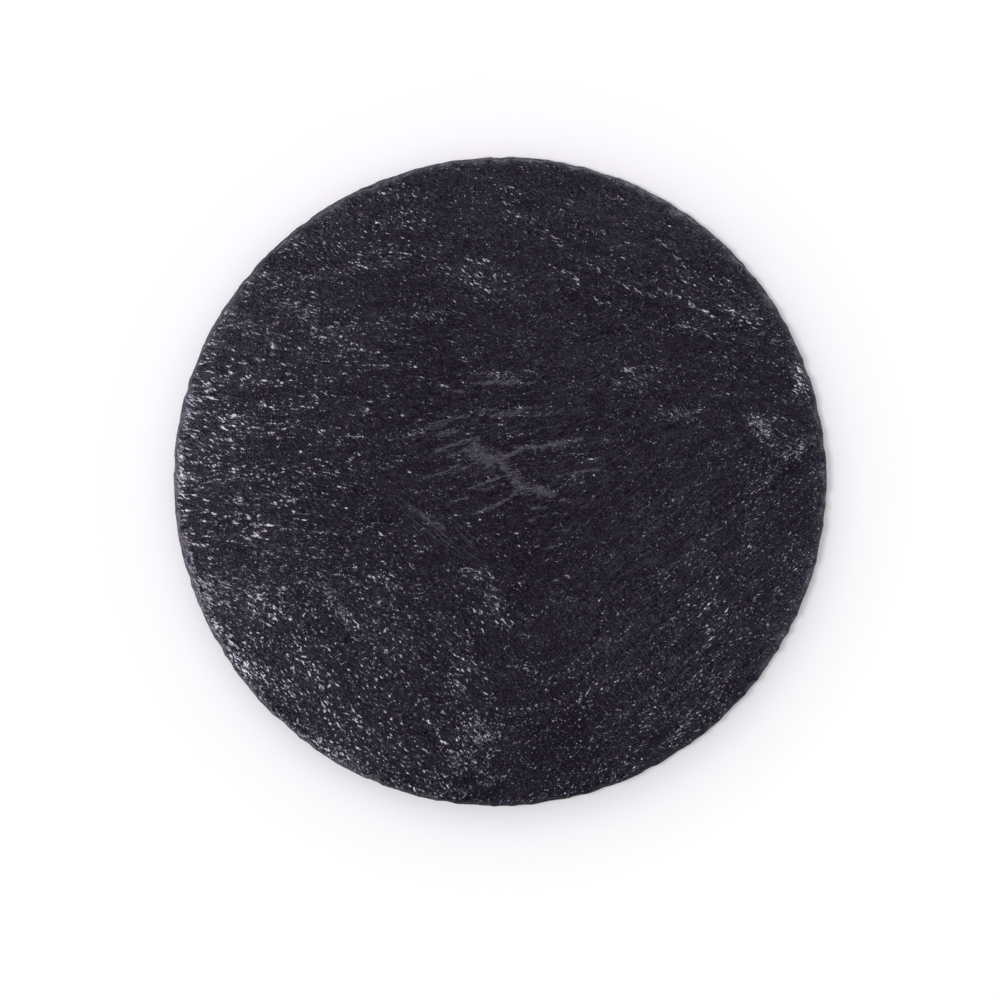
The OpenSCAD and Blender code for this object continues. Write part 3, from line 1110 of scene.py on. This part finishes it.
def rubbed_streaks(nodes, settings, grain, polish, crinkle):
    """Where the rubbed streaks lie, torn into filaments, and their colour."""
    filaments = nodes.laid_noise(grain, *FILAMENT_NOISE)
    torn = filaments * TEAR + nodes.laid_noise(grain, *TATTER_NOISE) - TEAR_MIDDLE
    streak = nodes.ramp(polish + torn, *TORN_RISE) * nodes.ramp(polish, *RUB_RISE)
    worn = nodes.grown(crinkle * RUB_CRINKLE + (filaments - 0.5) * RUB_STRANDS)
    return streak, nodes.scaled(settings.rubbed, worn)


def dressed_edge(nodes, settings, painted_edge_light):
    """The height of the edge's layers, and the colour of its stone under painted light and shade."""
    place = nodes.place()
    layers = nodes.noise(place, LAYER_SIZE, *LAYER_DETAIL, "3D")
    mottle = nodes.noise(place, MOTTLE_SIZE, *MOTTLE_DETAIL, "3D")
    # The edge's painted light and shade scales its colour
    light = nodes.ramp(layers, *LAYER_RAMP) * nodes.ramp(mottle, *MOTTLE_RAMP) * (painted_edge_light + 1.0)
    grains = nodes.part(nodes.cells(place, EDGE_GRAIN, "Color"), "X")
    light = light * nodes.grown((grains - EDGE_GRAIN_MIDDLE) * EDGE_GRAIN_LIGHT)
    return layers, nodes.scaled(settings.edge, light)


def slate_material(settings):
    """Riven slate: dark stone, pale flecks on a fine crinkle, partly painted glints and shading,
    rubbed streaks, and an edge with painted light and shade.
    """
    material, nodes, shader = new_finish("riven_slate")
    shader.inputs["Specular IOR Level"].default_value = STONE_GLOSS
    grain = nodes.signal("Vector", "ShaderNodeAttribute", attribute_name="grain")
    masks = {name: nodes.mask(name) for name in (*MASKS, *GRAINS, *HAIRLINES)}
    coarse, edge = masks["coarse"], masks["edge"]
    flecks, painted_shade, relief, lean = flecks_and_glints(nodes, grain, masks)

    fine = sharp_grain(nodes, grain, GRAIN_SIZE)
    patches = nodes.ramp(nodes.laid_noise(grain, *PATCH_NOISE), *PATCH_RISE, *PATCH_RANGE)
    crinkle = fine * (patches * (coarse * GRAIN_MORE + GRAIN_LEAST))
    crinkle = crinkle + (nodes.laid_noise(grain, *MIDDLE_NOISE) - 0.5) * MIDDLE_SHARE
    # Painted shade in the mesh crinkle's hollows and painted light on facets that lean to the back
    crinkle = crinkle + masks["crinkle"] * MESH_SHARE + nodes.part(lean, "Y") * LEAN_SHARE

    # Brightness over the plain stone, first as a logarithm, with painted shading from the crinkle,
    # the clumps' relief, pit cells and the flecks' shadows
    glow = crinkle * CRINKLE_GLOW + masks["tone"] + relief * (coarse * RELIEF_PAINTED_SHADING)
    glow = nodes.grown(glow - painted_shade * patches) - 1.0
    # Pale flecks, partly painted glints, and the glow with its painted shading, laid on the stone
    pale = nodes.scaled(settings.fleck_and_glint, flecks + glow * GLOW_LIGHT)
    stone = nodes.vector("ADD", settings.stone, pale)

    streak, rubbed = rubbed_streaks(nodes, settings, grain, masks["polish"], crinkle)
    # The edge's colour, with painted light and shade
    layers, painted_edge_light = dressed_edge(nodes, settings, masks["painted_edge_light"])
    nodes.feed(shader, "Base Color", nodes.blend(edge, nodes.blend(streak, stone, rubbed), painted_edge_light))
    rough = nodes.ramp(fine, *STONE_ROUGH) - streak * STREAK_SMOOTH + edge * EDGE_ROUGH
    nodes.feed(shader, "Roughness", rough)

    normal = nodes.signal("Normal", "ShaderNodeNewGeometry")
    normal = nodes.vector("ADD", normal, nodes.scaled(lean, coarse * FACET_LEAN))
    height = (crinkle * CRINKLE_BUMP + flecks * FLECK_BUMP) * (1.0 - edge)
    normal = nodes.bump(height, FACE_BUMP, Normal=nodes.vector("NORMALIZE", normal))
    nodes.feed(shader, "Normal", nodes.bump(layers * edge, EDGE_BUMP, Normal=normal))
    return material


# Foam: size of its cells and bloom, ranges of their light, roughness over the bloom, and the bump
FOAM_CELL, FOAM_CELL_RAMP = 0.45 * MM, (0.0, 0.7, 0.6, 1.5)
FOAM_BLOOM, FOAM_BLOOM_RAMP = 1.6 * MM, (0.3, 0.7, 0.7, 1.5)
FOAM_ROUGH, FOAM_BUMP, FOAM_BUMP_STRENGTH = (0.2, 0.8, 0.95, 0.78), 0.12 * MM, 0.8
# Adhesive: the same for its bubbles and cloud
BUBBLE, BUBBLE_RAMP = 0.7 * MM, (0.05, 0.25, 0.85, 1.0)
CLOUD, CLOUD_RAMP = 1.8 * MM, (0.3, 0.7, 0.82, 1.08)
ADHESIVE_ROUGH, ADHESIVE_BUMP, ADHESIVE_BUMP_STRENGTH = (0.2, 0.8, 0.35, 0.6), 0.05 * MM, 0.4
# Detail and roughness of the bloom and the cloud
CLOUD_DETAIL = (3.0, 0.6)


def cell_finish(name, colour, cell, cell_ramp, cloud, cloud_ramp, rough, bump, strength):
    """A finish of cells under a soft cloud."""
    material, nodes, shader = new_finish(name)
    place = nodes.place()
    cells = nodes.cells(place, cell)
    clouds = nodes.noise(place, (cloud,) * 3, *CLOUD_DETAIL, "3D")
    light = nodes.ramp(cells, *cell_ramp) * nodes.ramp(clouds, *cloud_ramp)
    nodes.feed(shader, "Base Color", nodes.scaled(colour, light))
    nodes.feed(shader, "Roughness", nodes.ramp(clouds, *rough))
    nodes.feed(shader, "Normal", nodes.bump(cells, bump, strength))
    return material


def foam_material(settings):
    """Black closed-cell foam: fine cells, cut open on the sides, and a dusty bloom."""
    return cell_finish(
        "foot_foam", settings.foam, FOAM_CELL, FOAM_CELL_RAMP, FOAM_BLOOM, FOAM_BLOOM_RAMP,
        FOAM_ROUGH, FOAM_BUMP, FOAM_BUMP_STRENGTH)


def adhesive_material(settings):
    """Acrylic adhesive: milky, a little uneven, with fine bubbles."""
    return cell_finish(
        "foot_adhesive", settings.adhesive, BUBBLE, BUBBLE_RAMP, CLOUD, CLOUD_RAMP,
        ADHESIVE_ROUGH, ADHESIVE_BUMP, ADHESIVE_BUMP_STRENGTH)


# Distances over which the floor turns plain white, and the lift of the floor within them
FLOOR_NEAR, FLOOR_FAR, FLOOR_LIFT = 0.89 * SLATE_R, 1.31 * SLATE_R, 0.02


def floor_material(settings):
    """White floor that keeps the shadow near the slate and is plain white further out."""
    material, nodes = new_material("white_floor")
    away = nodes.signal("Value", "ShaderNodeVectorMath", {0: nodes.place()}, operation="LENGTH")
    path = nodes.add("ShaderNodeLightPath").outputs
    camera, glossy, through = (
        Signal(nodes, path[f"Is {ray} Ray"]) for ray in ("Camera", "Glossy", "Transmission"))
    seen = nodes.maths("ADD", camera + glossy, through, clamp=True)
    matt = nodes.add("ShaderNodeBsdfDiffuse", {"Color": (*settings.floor, 1)})
    lift = nodes.add("ShaderNodeEmission", {"Strength": seen * FLOOR_LIFT})
    near = nodes.add("ShaderNodeAddShader", {0: matt, 1: lift})
    white = nodes.add("ShaderNodeEmission", {"Strength": 1.0})
    far = nodes.ramp(away, FLOOR_NEAR, FLOOR_FAR) * seen
    both = nodes.add("ShaderNodeMixShader", {0: far, 1: near, 2: white})
    nodes.add("ShaderNodeOutputMaterial", {"Surface": both})
    return material


class PLACEMAT_OT_slate(Operator):
    """Make the riven slate disc with its dressed edge"""

    bl_idname = "placemat.slate"
    bl_label = "Slate disc"

    def execute(self, context):
        settings = context.scene.placemat_slate
        shape = SlateShape(settings)
        shape.build()
        co = np.concatenate(shape.points)
        piece = new_piece("slate", co, shape.faces, slate_material(settings))
        values, grain = slate_attributes(shape, co)
        for name, value in values.items():
            layer = piece.data.attributes.new(name, "FLOAT", "POINT")
            layer.data.foreach_set("value", value.astype(np.float32))
        layer = piece.data.attributes.new("grain", "FLOAT_VECTOR", "POINT")
        layer.data.foreach_set("vector", grain.astype(np.float32).ravel())
        bake_map(piece, shape, co)
        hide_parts(SLATE_NODE)
        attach(piece, BODY)
        return {"FINISHED"}


# Rings of a foot's flat ends, as shares of its radius, and the number of rings up its side
FOOT_END_RINGS, FOOT_SIDE_RINGS = (0.25, 0.5, 0.75, 0.88), 12
# Cut of a foot's corners, and the shares of it that the side's rings take in and stand off
FOOT_CORNER, CORNER_IN, CORNER_OFF = 0.3 * MM, 0.5, 0.15
# Half lengths in millimetres of the foam's cut cells, the height of noise over which they open,
# and the seed of the first foot's
FOAM_GRAIN, FOAM_LEAST, FOAM_SEED = (0.28, 0.22), 0.3, 200


def foot_mesh(settings, low, high, seed):
    """Points and faces of a die-cut foam foot that fills the box from low to high."""
    middle = (low + high) / 2
    radius, height = (high.x - low.x) / 2, high.z - low.z
    sides, corner = settings.sides, FOOT_CORNER
    profile = [(radius * s, 0.0) for s in FOOT_END_RINGS]
    profile.append((radius - corner, 0.0))
    for level in np.linspace(0, 1, FOOT_SIDE_RINGS):
        waist = settings.waist * math.sin(math.pi * level)
        near_end = min(level, 1 - level) * height
        cut = max(0.0, corner - near_end) * CORNER_IN
        off = corner * CORNER_OFF
        profile.append((radius - waist - cut, off + level * (height - 2 * off)))
    profile.append((radius - corner, height))
    profile += [(radius * s, height) for s in reversed(FOOT_END_RINGS)]
    profile = np.array(profile)
    rows = len(profile)
    steps = (height / MM / FOOT_SIDE_RINGS, 2 * math.pi * radius / MM / sides)
    cells = grain_noise(seed, (4 * rows, sides), steps, *FOAM_GRAIN)[:rows]
    cells = chipped(cells, FOAM_LEAST)
    angle = 2 * math.pi * np.arange(sides) / sides
    r, z = np.repeat(profile[:, :1], sides, 1), np.repeat(profile[:, 1:], sides, 1)
    on_side = (z > 0) & (z < height)
    r = np.where(on_side, r - settings.cell_depth * cells, r)
    z = np.where(z == 0, settings.cell_depth * cells, z)
    x, y = middle.x + r * np.cos(angle), middle.y + r * np.sin(angle)
    points = np.stack([x, y, low.z + z], 2).reshape(-1, 3).tolist()
    faces = []
    for k in range(rows - 1):
        for j in range(sides):
            n = (j + 1) % sides
            faces.append([k * sides + j, k * sides + n, (k + 1) * sides + n, (k + 1) * sides + j])
    points += [[middle.x, middle.y, low.z], [middle.x, middle.y, high.z]]
    foot, head = len(points) - 2, len(points) - 1
    last = (rows - 1) * sides
    for j in range(sides):
        n = (j + 1) % sides
        faces.append([foot, n, j])
        faces.append([head, last + j, last + n])
    return points, faces


class PLACEMAT_OT_feet(Operator):
    """Make the four die-cut foam feet"""

    bl_idname = "placemat.feet"
    bl_label = "Foam feet"

    def execute(self, context):
        settings = context.scene.placemat_feet
        material = foam_material(settings)
        for k, corner in enumerate(CORNERS):
            node = "foot_" + corner
            points, faces = foot_mesh(settings, *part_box(node), seed=FOAM_SEED + k)
            piece = new_piece("foam_" + node, points, faces, material)
            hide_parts(node)
            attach(piece, BODY)
        return {"FINISHED"}


class PLACEMAT_OT_adhesive(Operator):
    """Finish the adhesive discs that hold the feet"""

    bl_idname = "placemat.adhesive"
    bl_label = "Adhesive discs"

    def execute(self, context):
        material = adhesive_material(context.scene.placemat_feet)
        for corner in CORNERS:
            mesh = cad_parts["adhesive_" + corner].data
            mesh.materials.clear()
            mesh.materials.append(material)
        return {"FINISHED"}


# The soft boxes: direction from the slate in degrees from +X, height angle, distance,
# width, depth, and the light that each gives a level white surface at the centre
SOFT_BOXES = {
    "key_soft_box": (184, 66, 2.0, 0.60, 0.60, 0.37),
    "back_soft_box": (114, 20, 1.1, 1.6, 0.8, 0.17),
    "right_soft_box": (8, 24, 1.1, 1.2, 0.8, 0.05),
}


def soft_box(name, azimuth, elevation, distance, width, depth, level):
    """An area light aimed at the slate's centre."""
    a, e = math.radians(azimuth), math.radians(elevation)
    way = Vector((math.cos(a) * math.cos(e), math.sin(a) * math.cos(e), math.sin(e)))
    light = bpy.data.lights.new(name, "AREA")
    light.shape = "RECTANGLE"
    light.size, light.size_y = width, depth
    light.energy = level * math.pi**2 * distance**2 / math.sin(e)
    lamp = bpy.data.objects.new(name, light)
    lamp.location = way * distance
    lamp.rotation_euler = way.to_track_quat("Z", "Y").to_euler()
    bpy.context.scene.collection.objects.link(lamp)


# Light of the studio over the sine of the height above the horizon: from the sweep to the
# ceiling, its fall right overhead, and a glow along the horizon
CEILING_RAMP = (0.45, 0.80, 0.74, 0.31)
OVERHEAD_RAMP = (0.91, 0.95, 1.0, 0.16)
HORIZON_RAMP = (0.15, 0.30, 0.26, 0.0)


def studio_world():
    """A white sweep round the horizon under a dim ceiling."""
    world = bpy.data.worlds.new("studio")
    bpy.context.scene.world = world
    world.use_nodes = True
    nodes = Nodes(world.node_tree)
    rise = nodes.part(nodes.signal("Generated", "ShaderNodeTexCoord"), "Z")
    strength = nodes.ramp(rise, *CEILING_RAMP) * nodes.ramp(rise, *OVERHEAD_RAMP)
    strength = strength + nodes.ramp(rise, *HORIZON_RAMP)
    sky = nodes.add("ShaderNodeBackground", {"Color": (1, 1, 1, 1), "Strength": strength})
    nodes.add("ShaderNodeOutputWorld", {"Surface": sky})


class PLACEMAT_OT_stage(Operator):
    """Set the camera, the lights and the floor"""

    bl_idname = "placemat.stage"
    bl_label = "Stage"

    # Width of the camera's sensor in millimetres
    SENSOR = 36.0
    # Side of the floor in metres
    FLOOR_SIDE = 12.0

    def execute(self, context):
        settings = context.scene.placemat_stage
        scene = context.scene
        scene.view_settings.view_transform = "Standard"
        lens = bpy.data.cameras.new("camera")
        lens.sensor_width = self.SENSOR
        lens.lens = self.SENSOR * settings.camera_height / settings.picture_width
        camera = bpy.data.objects.new("camera", lens)
        camera.location = (
            -settings.centre_right, -settings.centre_up, SLATE_HIGH.z + settings.camera_height)
        scene.collection.objects.link(camera)
        scene.camera = camera
        for name, values in SOFT_BOXES.items():
            soft_box(name, *values)
        studio_world()
        half = self.FLOOR_SIDE / 2
        points = [(-half, -half, 0), (half, -half, 0), (half, half, 0), (-half, half, 0)]
        floor = new_piece("floor", points, [[0, 1, 2, 3]], floor_material(settings))
        return {"FINISHED"}


class PLACEMAT_PT_sidebar(Panel):
    """Lists the placemat's pieces and their sizes."""

    bl_idname = "PLACEMAT_PT_sidebar"
    bl_label = "Slate Placemat"
    bl_space_type = "VIEW_3D"
    bl_region_type = "UI"
    bl_category = "Placemat"

    def draw(self, context):
        for group, operators in (
            (context.scene.placemat_slate, (PLACEMAT_OT_slate,)),
            (context.scene.placemat_feet, (PLACEMAT_OT_feet, PLACEMAT_OT_adhesive)),
            (context.scene.placemat_stage, (PLACEMAT_OT_stage,)),
        ):
            box = self.layout.box()
            for name in group.__annotations__:
                box.prop(group, name)
            for operator in operators:
                box.operator(operator.bl_idname)


GROUPS = {
    "placemat_slate": PlacematSlate,
    "placemat_feet": PlacematFeet,
    "placemat_stage": PlacematStage,
}
OPERATORS = (PLACEMAT_OT_slate, PLACEMAT_OT_feet, PLACEMAT_OT_adhesive, PLACEMAT_OT_stage)


def register():
    for name, group in GROUPS.items():
        bpy.utils.register_class(group)
        setattr(bpy.types.Scene, name, PointerProperty(type=group))
    for cls in (*OPERATORS, PLACEMAT_PT_sidebar):
        bpy.utils.register_class(cls)


def unregister():
    for cls in (PLACEMAT_PT_sidebar, *reversed(OPERATORS)):
        bpy.utils.unregister_class(cls)
    for name, group in reversed(GROUPS.items()):
        delattr(bpy.types.Scene, name)
        bpy.utils.unregister_class(group)


def main():
    register()
    bpy.ops.placemat.slate()
    bpy.ops.placemat.feet()
    bpy.ops.placemat.adhesive()
    bpy.ops.placemat.stage()


if __name__ == "__main__":
    main()
